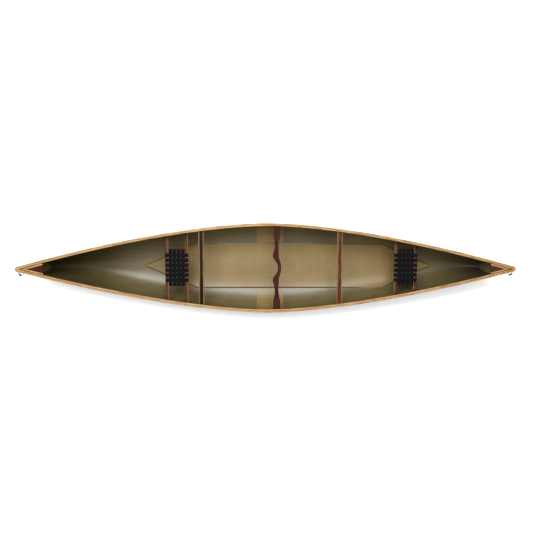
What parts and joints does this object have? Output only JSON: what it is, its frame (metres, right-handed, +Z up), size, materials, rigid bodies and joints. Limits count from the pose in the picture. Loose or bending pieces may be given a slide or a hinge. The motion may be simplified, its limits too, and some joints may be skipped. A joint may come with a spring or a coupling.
{
  "type": "canoe",
  "caption": "Open double-ended canoe with wooden gunwales, webbed seats, thwarts, a carved carrying yoke, inlaid decks and rope grab loops at its ends.",
  "frame": {"origin": "on the middle line, at the middle of the length, at the level of the lowest point of the bottom", "axes": "+X towards the bow, +Y to port, +Z up"},
  "size_m": [5.03, 0.9308, 0.53],
  "materials": {
    "hull_laminate": "aramid laminate with a clear resin skin inside and a green gel coat outside",
    "aramid_core": "golden aramid cloth over a foam core, wetted out with clear resin",
    "ash": "oiled ash",
    "walnut": "oiled walnut",
    "dark_walnut": "oiled dark walnut",
    "stainless_steel": "plain stainless steel",
    "webbing": "woven polyester webbing",
    "rope": "braided polyester rope",
    "foam": "closed-cell foam",
    "tube_plastic": "extruded plastic"
  },
  "bodies": {
    "root": {"hull_bow_end": "hull_laminate", "hull_bow_quarter": "hull_laminate", "hull_forward": "hull_laminate", "hull_middle": "hull_laminate", "hull_rear": "hull_laminate", "hull_stern_quarter": "hull_laminate", "hull_stern_end": "hull_laminate", "floor_core": "aramid_core", "side_band_port": "aramid_core", "side_band_starboard": "aramid_core", "bow_bulkhead": "hull_laminate", "stern_bulkhead": "hull_laminate", "bow_foam": "foam", "stern_foam": "foam", "inwale_port": "ash", "inwale_starboard": "ash", "outwale_port": "ash", "outwale_starboard": "ash", "gunwale_screws": "stainless_steel", "lock_nuts": "stainless_steel", "bow_deck_panel": "walnut", "bow_deck_strips": "ash", "bow_deck_pinstripes": "dark_walnut", "stern_deck_panel": "walnut", "stern_deck_strips": "ash", "stern_deck_pinstripes": "dark_walnut", "bow_thwart_core": "dark_walnut", "bow_thwart_edges": "ash", "bow_thwart_bolts": "stainless_steel", "stern_thwart_core": "walnut", "stern_thwart_edges": "ash", "stern_thwart_bolts": "stainless_steel", "yoke": "walnut", "yoke_bolts": "stainless_steel", "bow_seat_front_rail": "walnut", "bow_seat_rear_rail": "walnut", "bow_seat_rail_edges": "ash", "bow_seat_stretchers": "walnut", "bow_seat_long_straps": "webbing", "bow_seat_cross_straps": "webbing", "bow_seat_hanger_port": "walnut", "bow_seat_hanger_starboard": "walnut", "bow_seat_bolts": "stainless_steel", "stern_seat_front_rail": "walnut", "stern_seat_rear_rail": "walnut", "stern_seat_rail_edges": "ash", "stern_seat_stretchers": "walnut", "stern_seat_long_straps": "webbing", "stern_seat_cross_straps": "webbing", "stern_seat_hanger_port": "walnut", "stern_seat_hanger_starboard": "walnut", "stern_seat_bolts": "stainless_steel", "bow_line_tube": "tube_plastic", "stern_line_tube": "tube_plastic", "bow_grab_loop": "rope", "bow_loop_knot": "rope", "stern_grab_loop": "rope", "stern_loop_knot": "rope"}
  },
  "joints": []
}
